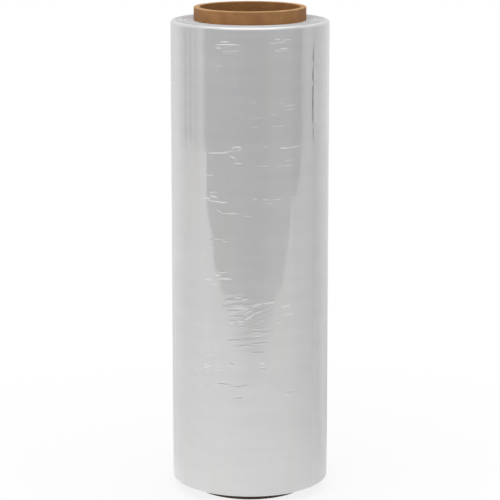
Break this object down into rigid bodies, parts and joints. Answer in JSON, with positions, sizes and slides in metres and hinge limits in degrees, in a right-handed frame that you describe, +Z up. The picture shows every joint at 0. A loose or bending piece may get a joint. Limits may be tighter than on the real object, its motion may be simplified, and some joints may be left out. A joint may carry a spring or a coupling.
{
  "type": "stretch wrap roll",
  "caption": "Roll of clear stretch film wound on a brown paper tube that stands out at both ends of the film.",
  "frame": {"origin": "centre of the paper tube's lower end, on the surface that the roll stands on", "axes": "+Z up along the roll's axis, -Y towards the front"},
  "size_m": [0.1204, 0.1203, 0.3731],
  "materials": {
    "core_board": "spiral wound brown paper board, unprinted",
    "stretch_film": "clear glossy film, milky where many turns lie on each other"
  },
  "bodies": {
    "root": {"core_tube": "core_board", "film_roll": "stretch_film"}
  },
  "joints": []
}
